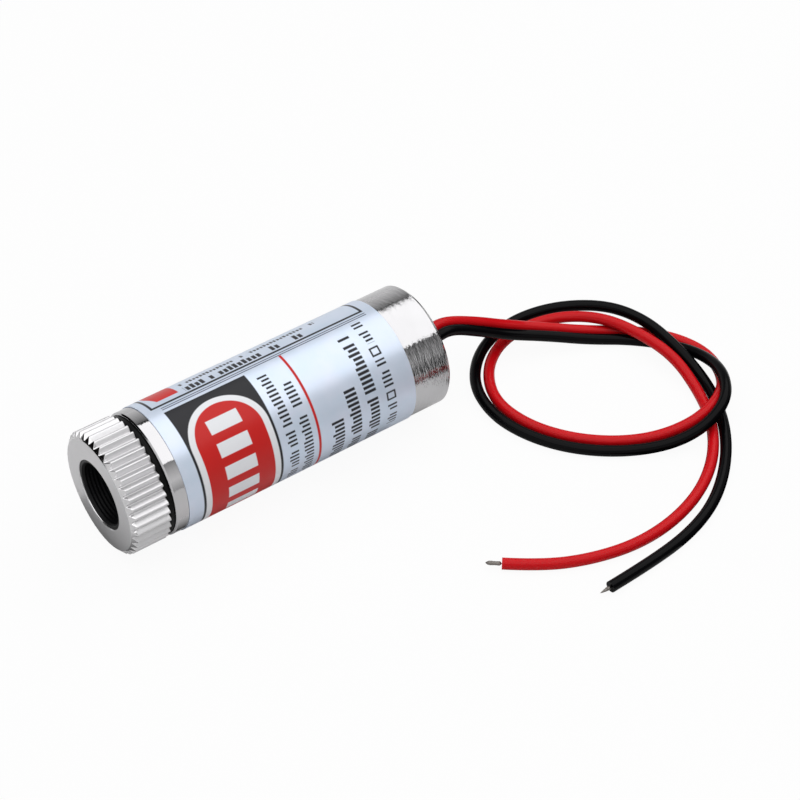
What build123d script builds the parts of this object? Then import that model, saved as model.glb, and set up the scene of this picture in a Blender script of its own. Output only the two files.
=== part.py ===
from build123d import *

import math
import os

# Small round laser module: a nickel-plated barrel with a knurled focus ring at its front, which turns on
# a fine thread, a wrapped label, and a red and a black lead that leave the rear and lie in a loose knot.
# Millimetres. +X is the way the beam leaves, +Z is up, and the module lies on its side on z = 0.
os.makedirs("parts", exist_ok=True)

# Barrel and label
body_length = 34.4  # front face of the focus ring to the rear face of the barrel
barrel_radius = 6.0
barrel_front_wall = 1.0  # wall round the threaded bore
barrel_rear_wall = 0.8  # wall behind the shoulder
barrel_front_chamfer = 0.15
barrel_rear_chamfer = 0.3
shoulder_from_front = 8.4  # barrel's front edge to the shoulder that the diode holder is pressed against
label_thickness = 0.08
label_front_margin = 1.3  # bare metal between the barrel's front edge and the label
label_rear_margin = 4.15  # bare metal between the label and the barrel's rear face
label_seam = 6.0  # degrees of the wrap left open
label_seam_place = 225  # degrees from straight up towards +Y: underneath, on the -Y side

# Focus ring
ring_length = 3.85
ring_gap = 0.55  # between the ring's rear face and the barrel's front edge
ridge_count = 40
ridge_depth = 0.45
ridge_crest_share = 0.14  # part of one pitch that the flat top of a ridge takes
ridge_turn = 3.5  # degrees from straight up to a ridge's crest, as the ring stands
ring_chamfer_depth = 0.55  # from the ridges' crests in to the edge of the flat front face
ring_chamfer_length = 0.45
ring_bore = 3.4
ring_bore_bevel = 0.12
neck_clearance = 0.05  # radial play of the threaded neck in the barrel
neck_length = 5.85
neck_undercut_depth = 0.35
neck_undercut_length = 0.9

# Rubber ring between the focus ring and the barrel
seal_inset = 0.2  # below the barrel's outside
seal_chamfer = 0.1
seal_clearance = 0.03  # between the seal and the barrel's front edge

# Lens, its cell and its retaining ring
cell_recess = 0.2  # from the ring's front face back to the cell
cell_length = 7.7
cell_wall = 0.4
cell_shoulder_radius = 2.45
cell_shoulder_depth = 4.3  # from the cell's front face back to the lens seat
cell_shoulder_width = 0.6
lens_rim_width = 0.45
lens_edge_thickness = 1.1
lens_rise = 0.95
retainer_width = 0.4
retainer_thickness = 0.6
retainer_slot_width = 0.6

# Focus spring
spring_wire = 0.45
spring_clearance = 0.65  # between the spring and the barrel's bore
spring_turns = 3.5
spring_sides = 6
spring_seat_gap = 0.02

# Diode holder and laser diode
holder_length = 3.6
holder_front_bore = 2.3
can_base_radius = 2.8
can_base_thickness = 1.2
can_base_inset = 0.2  # the base sits this far inside the holder's rear face
can_notch = 0.5
can_cap_radius = 1.8
can_cap_flange_radius = 2.15
can_cap_length = 2.3
can_cap_wall = 0.15
can_window_hole = 0.8
can_window_radius = 1.3
can_window_thickness = 0.25
post_width = 1.2
post_depth = 0.8
post_height = 1.3
chip_length = 0.5
chip_width = 0.3
chip_thickness = 0.12
pin_radius = 0.225
pin_circle = 1.0
pin_length = 3.4

# Driver board, which is held between the diode's pins
board_length = 10.4
board_clearance = 0.54  # between the board's lower corners and the barrel's bore
board_setback = 0.9  # from the rear of the diode's base to the board
driver_chip_length = 4.9
driver_chip_width = 3.9
driver_chip_height = 1.35
driver_chip_standoff = 0.12
driver_leg_pitch = 1.27
driver_leg_width = 0.42
driver_leg_reach = 0.95
driver_leg_knee = 0.43  # from the package to the outside of the leg's bend
driver_leg_thickness = 0.22
resistor_length = 1.6
resistor_width = 0.8
resistor_height = 0.45
resistor_edge = 0.3  # from the board's end to the resistors
resistor_inset = 1.3  # from the board's side to the middle of a resistor
capacitor_length = 3.2
capacitor_width = 1.6
capacitor_height = 1.6
solder_radius = 0.75
solder_height = 0.6
solder_top_radius = 0.4
solder_edge = 0.25  # from the board's end to the solder

# Rear plug, grommet and leads
plug_thickness = 1.5
plug_hole = 1.9
grommet_flange_radius = 2.6
grommet_flange_thickness = 0.7
lead_radius = 0.55
lead_sides = 8  # of the outer leads' insulation
lead_spacing = 1.2
lead_strip_gap = 1.2  # from the end of the insulation to the board
core_radius = 0.225
core_overlap = 2.0  # length of core that lies on the board
bend_share = 0.45  # part of the shorter run beside a point that its bend takes
lead_lift = 0.01  # above the table
tip_radius = 0.21
tip_point_radius = 0.05
red_tip_length = 1.52
red_tip_chamfer = 0.12
black_tip_length = 1.24

# Places and sizes that follow from the ones above
axis_z = barrel_radius + label_thickness
barrel_front_bore = barrel_radius - barrel_front_wall
barrel_rear_bore = barrel_radius - barrel_rear_wall
front_x = body_length / 2
rear_x = -body_length / 2
ring_rear_x = front_x - ring_length
barrel_front_x = ring_rear_x - ring_gap
neck_rear_x = ring_rear_x - neck_length
ring_face_radius = barrel_radius - ring_chamfer_depth
neck_radius = barrel_front_bore - neck_clearance
neck_undercut_radius = neck_radius - neck_undercut_depth
seal_radius = barrel_radius - seal_inset
spring_radius = barrel_front_bore - spring_clearance - spring_wire / 2
shoulder_x = barrel_front_x - shoulder_from_front
label_front_x = barrel_front_x - label_front_margin
label_rear_x = rear_x + label_rear_margin
cell_front_x = front_x - cell_recess
cell_rear_x = cell_front_x - cell_length
cell_inner_radius = ring_bore - cell_wall
lens_seat_x = cell_front_x - cell_shoulder_depth
lens_front_x = lens_seat_x + lens_edge_thickness
holder_front_x = shoulder_x
holder_rear_x = holder_front_x - holder_length
can_base_rear_x = holder_rear_x + can_base_inset
can_base_front_x = can_base_rear_x + can_base_thickness
can_cap_front_x = can_base_front_x + can_cap_length
board_front_x = can_base_rear_x - board_setback
board_rear_x = board_front_x - board_length
board_top_z = axis_z - pin_radius
board_thickness = pin_circle - 2 * pin_radius
board_half_width = math.sqrt(barrel_rear_bore**2 - (pin_circle - pin_radius) ** 2) - board_clearance
lead_rise = core_radius - pin_radius  # height over the axis at which the cores lie on the board
plug_front_x = rear_x + plug_thickness
core_rear_x = board_rear_x - lead_strip_gap
core_front_x = board_rear_x + core_overlap


def cross_plane(x):
    """Plane across the module's axis at x, facing forward, with its local x along +Y and its y along +Z."""
    return Plane(origin=(x, 0, axis_z), x_dir=(0, 1, 0), z_dir=(1, 0, 0))


def turning_plane_at(angle):
    """Plane through the axis for a turned profile. Its local x is the distance along the module and its
    local y the radius, which points straight up at 0 degrees and along +Y at 90."""
    turn = math.radians(angle)
    return Plane(origin=(0, 0, axis_z), x_dir=(1, 0, 0), z_dir=(0, -math.cos(turn), math.sin(turn)))


turning_plane = turning_plane_at(0)
module_axis = Axis((0, 0, axis_z), (1, 0, 0))


# Barrel: a turned tube with a threaded front bore and a slightly wider rear bore behind a shoulder
with BuildPart() as barrel:
    with BuildSketch(turning_plane):
        with BuildLine():
            Polyline(
                (barrel_front_x, barrel_front_bore),
                (barrel_front_x, barrel_radius - barrel_front_chamfer),
                (barrel_front_x - barrel_front_chamfer, barrel_radius),
                (rear_x + barrel_rear_chamfer, barrel_radius),
                (rear_x, barrel_radius - barrel_rear_chamfer),
                (rear_x, barrel_rear_bore),
                (shoulder_x, barrel_rear_bore),
                (shoulder_x, barrel_front_bore),
                close=True,
            )
        make_face()
    revolve(axis=module_axis)
barrel.part.label = "barrel"
export_step(barrel.part, "parts/barrel.step")

# Label: a thin printed sheet wrapped round the barrel, with its two ends a little apart underneath
with BuildPart() as label:
    with BuildSketch(turning_plane_at(label_seam_place - label_seam / 2)):
        with Locations(((label_front_x + label_rear_x) / 2, barrel_radius + label_thickness / 2)):
            Rectangle(label_front_x - label_rear_x, label_thickness)
    revolve(axis=module_axis, revolution_arc=360 - label_seam)
label.part.label = "label"
export_step(label.part, "parts/label.step")

# Rear plug: a turned disc pressed into the barrel's rear bore, with the hole for the grommet
with BuildPart() as rear_plug:
    with BuildSketch(cross_plane(rear_x)):
        Circle(barrel_rear_bore)
        Circle(plug_hole, mode=Mode.SUBTRACT)
    extrude(amount=plug_thickness)
rear_plug.part.label = "rear_plug"
export_step(rear_plug.part, "parts/rear_plug.step")

# Grommet: a rubber bush in the plug's hole with a flange inside, and one hole for each lead
lead_places = [(-lead_spacing / 2, lead_rise), (lead_spacing / 2, lead_rise)]
with BuildPart() as wire_grommet:
    with BuildSketch(cross_plane(rear_x)):
        Circle(plug_hole)
    extrude(amount=plug_thickness)
    with BuildSketch(cross_plane(plug_front_x)):
        Circle(grommet_flange_radius)
    extrude(amount=grommet_flange_thickness)
    with BuildSketch(cross_plane(rear_x)):
        with Locations(*lead_places):
            Circle(lead_radius)
    extrude(amount=plug_thickness + grommet_flange_thickness, mode=Mode.SUBTRACT)
wire_grommet.part.label = "wire_grommet"
export_step(wire_grommet.part, "parts/wire_grommet.step")

# Focus ring: a knurled head and a threaded neck turned in one piece, bored through for the lens cell.
# The knurling is a star of V ridges cut by a cone at the front, so that each ridge ends in a facet.
ridge_pitch = 360 / ridge_count
ridge_root = barrel_radius - ridge_depth
crest_half_angle = ridge_pitch * ridge_crest_share / 2
star = []
for ridge in range(ridge_count):
    middle = 90 - ridge_turn + ridge * ridge_pitch
    for radius, angle in (
        (barrel_radius, middle - crest_half_angle),
        (barrel_radius, middle + crest_half_angle),
        (ridge_root, middle + ridge_pitch / 2),
    ):
        star.append((radius * math.cos(math.radians(angle)), radius * math.sin(math.radians(angle))))

with BuildPart() as focus_ring:
    with BuildSketch(cross_plane(ring_rear_x)):
        with BuildLine():
            Polyline(*star, close=True)
        make_face()
    extrude(amount=ring_length)
    chamfer_slope = (barrel_radius - ring_face_radius) / ring_chamfer_length
    cut_margin = 0.5
    with BuildSketch(turning_plane):
        with BuildLine():
            Polyline(
                (front_x - ring_chamfer_length, barrel_radius),
                (front_x, ring_face_radius),
                (front_x + cut_margin, ring_face_radius - cut_margin * chamfer_slope),
                (front_x + cut_margin, barrel_radius + cut_margin * chamfer_slope),
                (front_x - ring_chamfer_length - cut_margin, barrel_radius + cut_margin * chamfer_slope),
                close=True,
            )
        make_face()
    revolve(axis=module_axis, mode=Mode.SUBTRACT)
    with BuildSketch(turning_plane):
        with BuildLine():
            Polyline(
                (ring_rear_x, 0),
                (ring_rear_x, neck_undercut_radius),
                (ring_rear_x - neck_undercut_length, neck_undercut_radius),
                (ring_rear_x - neck_undercut_length, neck_radius),
                (neck_rear_x, neck_radius),
                (neck_rear_x, 0),
                close=True,
            )
        make_face()
    revolve(axis=module_axis)
    with BuildSketch(turning_plane):
        with BuildLine():
            Polyline(
                (neck_rear_x, 0),
                (neck_rear_x, ring_bore),
                (front_x - ring_bore_bevel, ring_bore),
                (front_x, ring_bore + ring_bore_bevel),
                (front_x, 0),
                close=True,
            )
        make_face()
    revolve(axis=module_axis, mode=Mode.SUBTRACT)
focus_ring.part.label = "focus_ring"
export_step(focus_ring.part, "parts/focus_ring.step")

# Seal: a rubber ring round the neck's undercut that fills the gap between the ring and the barrel
seal_rear_x = barrel_front_x + seal_clearance
with BuildPart() as neck_seal:
    with BuildSketch(turning_plane) as seal_section:
        with Locations(((ring_rear_x + seal_rear_x) / 2, (neck_undercut_radius + seal_radius) / 2)):
            Rectangle(ring_rear_x - seal_rear_x, seal_radius - neck_undercut_radius)
        chamfer(seal_section.vertices(), seal_chamfer)
    revolve(axis=module_axis)
neck_seal.part.label = "neck_seal"
export_step(neck_seal.part, "parts/neck_seal.step")

# Lens cell: a black tube in the ring's bore, with an inner shoulder that the lens sits on
with BuildPart() as lens_cell:
    with BuildSketch(cross_plane(cell_rear_x)):
        Circle(ring_bore)
        Circle(cell_inner_radius, mode=Mode.SUBTRACT)
    extrude(amount=cell_length)
    with BuildSketch(cross_plane(lens_seat_x - cell_shoulder_width)):
        Circle(cell_inner_radius)
        Circle(cell_shoulder_radius, mode=Mode.SUBTRACT)
    extrude(amount=cell_shoulder_width)
lens_cell.part.label = "lens_cell"
export_step(lens_cell.part, "parts/lens_cell.step")

# Lens: a moulded collimating lens, with a flat rear face, a flat rim and a domed front
lens_dome_radius = cell_inner_radius - lens_rim_width
with BuildPart() as lens:
    with BuildSketch(turning_plane):
        with BuildLine():
            Polyline((lens_front_x + lens_rise, 0), (lens_seat_x, 0), (lens_seat_x, cell_inner_radius))
            Polyline((lens_seat_x, cell_inner_radius), (lens_front_x, cell_inner_radius))
            Line((lens_front_x, cell_inner_radius), (lens_front_x, lens_dome_radius))
            TangentArc((lens_front_x + lens_rise, 0), (lens_front_x, lens_dome_radius), tangent=(0, 1))
        make_face()
    revolve(axis=module_axis)
lens.part.label = "lens"
export_step(lens.part, "parts/lens.step")

# Retaining ring: a thin threaded ring on the lens's rim, with two slots for a spanner
with BuildPart() as lens_retainer:
    with BuildSketch(cross_plane(lens_front_x)):
        Circle(cell_inner_radius)
        Circle(cell_inner_radius - retainer_width, mode=Mode.SUBTRACT)
    extrude(amount=retainer_thickness)
    with BuildSketch(cross_plane(lens_front_x + retainer_thickness / 2)):
        Rectangle(2 * barrel_radius, retainer_slot_width)
    extrude(amount=retainer_thickness, mode=Mode.SUBTRACT)
lens_retainer.part.label = "lens_retainer"
export_step(lens_retainer.part, "parts/lens_retainer.step")

# Focus spring: a compression spring between the diode holder and the neck, which takes up the
# thread's play. Its wire has a few flat sides.
spring_length = neck_rear_x - holder_front_x - spring_wire - 2 * spring_seat_gap
with BuildPart() as focus_spring:
    with BuildLine():
        coil = Helix(
            pitch=spring_length / spring_turns,
            height=spring_length,
            radius=spring_radius,
            center=(holder_front_x + spring_wire / 2 + spring_seat_gap, 0, axis_z),
            direction=(1, 0, 0),
        )
    with BuildSketch(Plane(origin=coil @ 0, z_dir=coil % 0)):
        RegularPolygon(spring_wire / 2, spring_sides)
    sweep(is_frenet=True)
focus_spring.part.label = "focus_spring"
export_step(focus_spring.part, "parts/focus_spring.step")

# Diode holder: a brass slug pressed against the barrel's shoulder, bored for the laser diode's can
with BuildPart() as diode_holder:
    with BuildSketch(cross_plane(holder_rear_x)):
        Circle(barrel_rear_bore)
        Circle(holder_front_bore, mode=Mode.SUBTRACT)
    extrude(amount=holder_length)
    with BuildSketch(cross_plane(holder_rear_x)):
        Circle(can_base_radius)
    extrude(amount=can_base_inset + can_base_thickness, mode=Mode.SUBTRACT)
diode_holder.part.label = "diode_holder"
export_step(diode_holder.part, "parts/diode_holder.step")

# Diode base: the round steel plate of the can, with a small notch on either side for turning it
with BuildPart() as diode_base:
    with BuildSketch(cross_plane(can_base_rear_x)):
        Circle(can_base_radius)
        with Locations((-can_base_radius, 0), (can_base_radius, 0)):
            Rectangle(can_notch, can_notch, mode=Mode.SUBTRACT)
    extrude(amount=can_base_thickness)
diode_base.part.label = "diode_base"
export_step(diode_base.part, "parts/diode_base.step")

# Diode cap: a thin cup welded on the base, with a round hole in its front
with BuildPart() as diode_cap:
    with BuildSketch(turning_plane):
        with BuildLine():
            Polyline(
                (can_base_front_x, can_cap_radius - can_cap_wall),
                (can_base_front_x, can_cap_flange_radius),
                (can_base_front_x + can_cap_wall, can_cap_flange_radius),
                (can_base_front_x + can_cap_wall, can_cap_radius),
                (can_cap_front_x, can_cap_radius),
                (can_cap_front_x, can_window_hole),
                (can_cap_front_x - can_cap_wall, can_window_hole),
                (can_cap_front_x - can_cap_wall, can_cap_radius - can_cap_wall),
                close=True,
            )
        make_face()
    revolve(axis=module_axis)
diode_cap.part.label = "diode_cap"
export_step(diode_cap.part, "parts/diode_cap.step")

# Diode window: a glass disc behind the cap's hole
with BuildPart() as diode_window:
    with BuildSketch(cross_plane(can_cap_front_x - can_cap_wall)):
        Circle(can_window_radius)
    extrude(amount=-can_window_thickness)
diode_window.part.label = "diode_window"
export_step(diode_window.part, "parts/diode_window.step")

# Diode post: the block on the base whose flat top carries the laser chip at the axis
with BuildPart() as diode_post:
    with BuildSketch(cross_plane(can_base_front_x)):
        with Locations((0, -(chip_thickness + post_depth) / 2)):
            Rectangle(post_width, post_depth)
    extrude(amount=post_height)
diode_post.part.label = "diode_post"
export_step(diode_post.part, "parts/diode_post.step")

# Diode chip: the laser itself, level with the front end of the post
with BuildPart() as diode_chip:
    with BuildSketch(cross_plane(can_base_front_x + post_height - chip_length)):
        Rectangle(chip_width, chip_thickness)
    extrude(amount=chip_length)
diode_chip.part.label = "diode_chip"
export_step(diode_chip.part, "parts/diode_chip.step")

# Diode pins: two over the driver board and one under it
pin_places = [(-pin_circle, 0), (pin_circle, 0), (0, -pin_circle)]
with BuildPart() as diode_pins:
    with BuildSketch(cross_plane(can_base_rear_x)):
        with Locations(*pin_places):
            Circle(pin_radius)
    extrude(amount=-pin_length)
diode_pins.part.label = "diode_pins"
export_step(diode_pins.part, "parts/diode_pins.step")

# Driver board: a small circuit board that lies along the axis in the rear bore
board_middle_x = (board_front_x + board_rear_x) / 2
with BuildPart() as driver_board:
    with BuildSketch(Plane.XY.offset(board_top_z - board_thickness)):
        with Locations((board_middle_x, 0)):
            Rectangle(board_length, 2 * board_half_width)
    extrude(amount=board_thickness)
driver_board.part.label = "driver_board"
export_step(driver_board.part, "parts/driver_board.step")

# Driver chip: an eight-legged surface-mount package
with BuildPart() as driver_chip:
    with BuildSketch(Plane.XY.offset(board_top_z + driver_chip_standoff)):
        with Locations((board_middle_x, 0)):
            Rectangle(driver_chip_length, driver_chip_width)
    extrude(amount=driver_chip_height)
driver_chip.part.label = "driver_chip"
export_step(driver_chip.part, "parts/driver_chip.step")

# Chip legs: four bent strips along either side of the package
leg_top = driver_chip_standoff + driver_chip_height / 2 + driver_leg_thickness / 2
leg_profile = [
    (0, leg_top),
    (driver_leg_knee, leg_top),
    (driver_leg_knee, driver_leg_thickness),
    (driver_leg_reach, driver_leg_thickness),
    (driver_leg_reach, 0),
    (driver_leg_knee - driver_leg_thickness, 0),
    (driver_leg_knee - driver_leg_thickness, leg_top - driver_leg_thickness),
    (0, leg_top - driver_leg_thickness),
]
leg_row = range(-3, 4, 2)
with BuildPart() as driver_chip_legs:
    for side in (-1, 1):
        for step in leg_row:
            leg_x = board_middle_x + step * driver_leg_pitch / 2
            with BuildSketch(Plane(origin=(leg_x, 0, board_top_z), x_dir=(0, side, 0), z_dir=(side, 0, 0))):
                with BuildLine():
                    Polyline(*[(driver_chip_width / 2 + out, up) for out, up in leg_profile], close=True)
                make_face()
            extrude(amount=driver_leg_width / 2, both=True)
driver_chip_legs.part.label = "driver_chip_legs"
export_step(driver_chip_legs.part, "parts/driver_chip_legs.step")

# Chip resistors: two at either end of the board, set across it
resistor_x = (board_length - resistor_width) / 2 - resistor_edge
resistor_y = board_half_width - resistor_inset
resistor_places = []
for end in (-1, 1):
    for side in (-1, 1):
        resistor_places.append((board_middle_x + end * resistor_x, side * resistor_y))
with BuildPart() as chip_resistors:
    with BuildSketch(Plane.XY.offset(board_top_z)):
        with Locations(*resistor_places):
            Rectangle(resistor_width, resistor_length)
    extrude(amount=resistor_height)
chip_resistors.part.label = "chip_resistors"
export_step(chip_resistors.part, "parts/chip_resistors.step")

# Chip capacitor: on the underside of the board
with BuildPart() as chip_capacitor:
    with BuildSketch(Plane.XY.offset(board_top_z - board_thickness)):
        with Locations((board_middle_x, 0)):
            Rectangle(capacitor_width, capacitor_length)
    extrude(amount=-capacitor_height)
chip_capacitor.part.label = "chip_capacitor"
export_step(chip_capacitor.part, "parts/chip_capacitor.step")

# Inner leads: the insulated part of each lead inside the module, as far as its stripped end
lead_names = ("red_inner_lead", "black_inner_lead")
for name, place in zip(lead_names, lead_places):
    with BuildPart() as inner_lead:
        with BuildSketch(cross_plane(rear_x)):
            with Locations(place):
                Circle(lead_radius)
        extrude(amount=core_rear_x - rear_x)
    inner_lead.part.label = name
    export_step(inner_lead.part, "parts/" + name + ".step")

# Lead cores: the stripped ends, which lie on the board
with BuildPart() as lead_cores:
    with BuildSketch(cross_plane(core_rear_x)):
        with Locations(*lead_places):
            Circle(core_radius)
    extrude(amount=core_front_x - core_rear_x)
lead_cores.part.label = "lead_cores"
export_step(lead_cores.part, "parts/lead_cores.step")

# Solder joints: a low mound over each pin and each core, above and under the board, with a channel for
# the pin or core that is as wide down to the board
pin_solder_x = board_front_x - solder_radius - solder_edge
core_solder_x = board_rear_x + solder_radius + solder_edge
mounds = [
    (pin_solder_x, -pin_circle, 1, pin_radius),
    (pin_solder_x, pin_circle, 1, pin_radius),
    (pin_solder_x, 0, -1, pin_radius),
    (core_solder_x, -lead_spacing / 2, 1, core_radius),
    (core_solder_x, lead_spacing / 2, 1, core_radius),
]
with BuildPart() as solder_joints:
    for mound_x, mound_y, up, wire_radius in mounds:
        mound_z = board_top_z if up > 0 else board_top_z - board_thickness
        with BuildSketch(Plane(origin=(mound_x, mound_y, mound_z), x_dir=(1, 0, 0), z_dir=(0, -up, 0))):
            with BuildLine():
                Polyline(
                    (0, 0),
                    (solder_radius, 0),
                    (solder_top_radius, solder_height),
                    (0, solder_height),
                    close=True,
                )
            make_face()
        revolve(axis=Axis((mound_x, mound_y, mound_z), (0, 0, 1)))
        with BuildSketch(Plane(origin=(mound_x, mound_y, mound_z), x_dir=(0, up, 0), z_dir=(1, 0, 0))):
            with Locations((0, wire_radius)):
                Circle(wire_radius)
            with Locations((0, wire_radius / 2)):
                Rectangle(2 * wire_radius, wire_radius)
        extrude(amount=2 * solder_radius, both=True, mode=Mode.SUBTRACT)
solder_joints.part.label = "solder_joints"
export_step(solder_joints.part, "parts/solder_joints.step")

# Leads outside: both leave the rear side by side, come down to the table, turn back under themselves,
# cross twice and end beside the bend. Each is a row of points joined by straight runs and round bends.
lead_floor_z = lead_radius + lead_lift
red_route = [
    (rear_x, -lead_spacing / 2, axis_z + lead_rise),
    (-19.2, -lead_spacing / 2, axis_z + lead_rise),
    (-21.3, -0.9, 6.05),
    (-24.8, -0.6, 4.4),
    (-28.0, 0.1, 2.8),
    (-31.6, 1.6, 1.7),
    (-35.3, 3.4, 0.65),
    (-39.0, 5.9, lead_floor_z),
    (-41.9, 9.0, lead_floor_z),
    (-43.2, 12.7, lead_floor_z),
    (-42.0, 16.5, 0.83),
    (-39.0, 19.3, 1.93),
    (-35.4, 20.2, 1.6),
    (-31.6, 19.2, 0.8),
    (-28.0, 17.2, lead_floor_z),
    (-24.8, 14.2, lead_floor_z),
    (-22.7, 10.4, lead_floor_z),
    (-22.2, 6.2, lead_floor_z),
    (-24.1, 2.4, lead_floor_z),
    (-27.4, 0.0, lead_floor_z),
    (-31.2, -0.6, lead_floor_z),
    (-34.8, 1.0, 1.2),
    (-37.3, 4.1, 1.8),
    (-38.7, 8.0, 1.85),
    (-39.4, 12.2, 1.6),
    (-39.0, 16.2, 0.6),
    (-37.4, 20.2, lead_floor_z),
    (-34.4, 24.0, lead_floor_z),
    (-30.5, 26.7, lead_floor_z),
    (-26.0, 28.2, lead_floor_z),
    (-21.4, 28.5, lead_floor_z),
    (-16.9, 27.5, lead_floor_z),
    (-12.9, 25.6, lead_floor_z),
    (-10.1, 23.3, lead_floor_z),
]
black_route = [
    (rear_x, lead_spacing / 2, axis_z + lead_rise),
    (-19.2, lead_spacing / 2, axis_z + lead_rise),
    (-21.3, 0.3, 6.0),
    (-24.8, 0.6, 4.05),
    (-27.7, 1.3, 2.6),
    (-31.2, 2.8, 1.7),
    (-34.8, 4.7, 0.75),
    (-38.4, 7.0, lead_floor_z),
    (-41.1, 10.0, 0.6),
    (-42.0, 13.5, 1.45),
    (-41.1, 17.3, 2.65),
    (-38.9, 20.4, 2.75),
    (-35.7, 21.4, 1.8),
    (-32.1, 20.9, 1.0),
    (-28.2, 18.9, lead_floor_z),
    (-24.5, 15.9, lead_floor_z),
    (-22.0, 12.1, lead_floor_z),
    (-20.9, 7.8, lead_floor_z),
    (-21.8, 3.4, lead_floor_z),
    (-24.7, 0.1, lead_floor_z),
    (-28.4, -1.6, lead_floor_z),
    (-32.3, -1.9, lead_floor_z),
    (-36.1, -0.4, 0.9),
    (-39.0, 2.8, 1.6),
    (-40.3, 6.6, 1.85),
    (-40.4, 10.8, 1.8),
    (-40.6, 14.8, 0.65),
    (-39.4, 18.7, lead_floor_z),
    (-37.2, 22.5, lead_floor_z),
    (-34.1, 25.9, lead_floor_z),
    (-30.4, 28.6, lead_floor_z),
    (-26.2, 30.2, lead_floor_z),
    (-21.2, 30.9, lead_floor_z),
    (-16.2, 31.1, lead_floor_z),
]


def bend_radii(route):
    """Radius of the bend at each inner point: the bend takes a fixed share of the shorter run beside it."""
    radii = []
    for before, here, after in zip(route, route[1:], route[2:]):
        run_in = Vector(*here) - Vector(*before)
        run_out = Vector(*after) - Vector(*here)
        half_turn = math.radians(run_in.get_angle(run_out)) / 2
        radii.append(bend_share * min(run_in.length, run_out.length) / math.tan(half_turn))
    return radii


for name, route in (("red_wire", red_route), ("black_wire", black_route)):
    radii = bend_radii(route)
    print(name, "bend radii", [round(radius, 1) for radius in radii])
    with BuildPart() as lead:
        with BuildLine() as path:
            FilletPolyline(*route, radius=radii)
        with BuildSketch(Plane(origin=path.line @ 0, z_dir=path.line % 0)) as section:
            RegularPolygon(lead_radius, lead_sides)
        sweep()
    path_length = sum(edge.length for edge in path.line.edges())
    tube_length = lead.part.volume / section.sketch.area
    print(name, "length", round(path_length, 2), "length from volume", round(tube_length, 2))
    lead.part.label = name
    export_step(lead.part, "parts/" + name + ".step")

# Stripped ends: a short tinned strand on the red lead, and one drawn out to a point on the black lead
red_direction = (Vector(*red_route[-1]) - Vector(*red_route[-2])).normalized()
with BuildPart() as red_wire_tip:
    with BuildSketch(Plane(origin=red_route[-1], z_dir=red_direction)):
        Circle(tip_radius)
    extrude(amount=red_tip_length)
    chamfer(red_wire_tip.faces().sort_by(Axis((0, 0, 0), tuple(red_direction)))[-1].edges(), red_tip_chamfer)
red_wire_tip.part.label = "red_wire_tip"
export_step(red_wire_tip.part, "parts/red_wire_tip.step")

black_direction = (Vector(*black_route[-1]) - Vector(*black_route[-2])).normalized()
black_end = Vector(*black_route[-1]) + black_direction * black_tip_length
with BuildPart() as black_wire_tip:
    with BuildSketch(Plane(origin=black_route[-1], z_dir=black_direction)):
        Circle(tip_radius)
    with BuildSketch(Plane(origin=black_end, z_dir=black_direction)):
        Circle(tip_point_radius)
    loft()
black_wire_tip.part.label = "black_wire_tip"
export_step(black_wire_tip.part, "parts/black_wire_tip.step")
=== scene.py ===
import math

import bmesh
import bpy
import numpy as np
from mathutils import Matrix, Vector


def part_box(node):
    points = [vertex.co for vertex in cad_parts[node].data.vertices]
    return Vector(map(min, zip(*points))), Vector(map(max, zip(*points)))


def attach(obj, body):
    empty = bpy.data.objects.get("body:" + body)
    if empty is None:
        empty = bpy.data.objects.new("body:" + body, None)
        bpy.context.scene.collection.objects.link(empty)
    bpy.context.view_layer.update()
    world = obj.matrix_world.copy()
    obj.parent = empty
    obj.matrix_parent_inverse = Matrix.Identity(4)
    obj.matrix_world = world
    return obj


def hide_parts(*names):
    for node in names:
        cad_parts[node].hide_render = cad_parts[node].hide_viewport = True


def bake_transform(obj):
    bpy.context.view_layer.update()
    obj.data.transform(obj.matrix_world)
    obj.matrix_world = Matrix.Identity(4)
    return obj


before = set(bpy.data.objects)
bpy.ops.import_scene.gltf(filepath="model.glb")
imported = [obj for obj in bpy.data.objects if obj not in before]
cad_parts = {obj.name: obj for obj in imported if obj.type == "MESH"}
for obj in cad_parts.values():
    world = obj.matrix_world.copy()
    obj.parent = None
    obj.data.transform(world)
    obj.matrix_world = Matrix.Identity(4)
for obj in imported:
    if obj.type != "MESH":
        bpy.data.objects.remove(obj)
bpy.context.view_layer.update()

mm = 0.001


# Camera
# It looks down on the module from in front of it and to its left, through a long lens, and isn't tilted
# to the side.
def add_object(name, data):
    """An object made of this data, in the scene."""
    made = bpy.data.objects.new(name, data)
    bpy.context.scene.collection.objects.link(made)
    return made


camera_place = Vector((82.79, 137.90, 161.48)) * mm
camera_view = Vector((-0.4197, -0.5885, -0.6910))
camera_data = bpy.data.cameras.new("camera")
camera_data.sensor_width = 36
camera_data.lens = 109.86
camera_data.clip_start = 1 * mm
camera = add_object("camera", camera_data)
camera.location = camera_place
camera.rotation_euler = camera_view.to_track_quat("-Z", "Y").to_euler()
bpy.context.scene.camera = camera
bpy.context.scene.view_settings.view_transform = "Standard"


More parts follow.
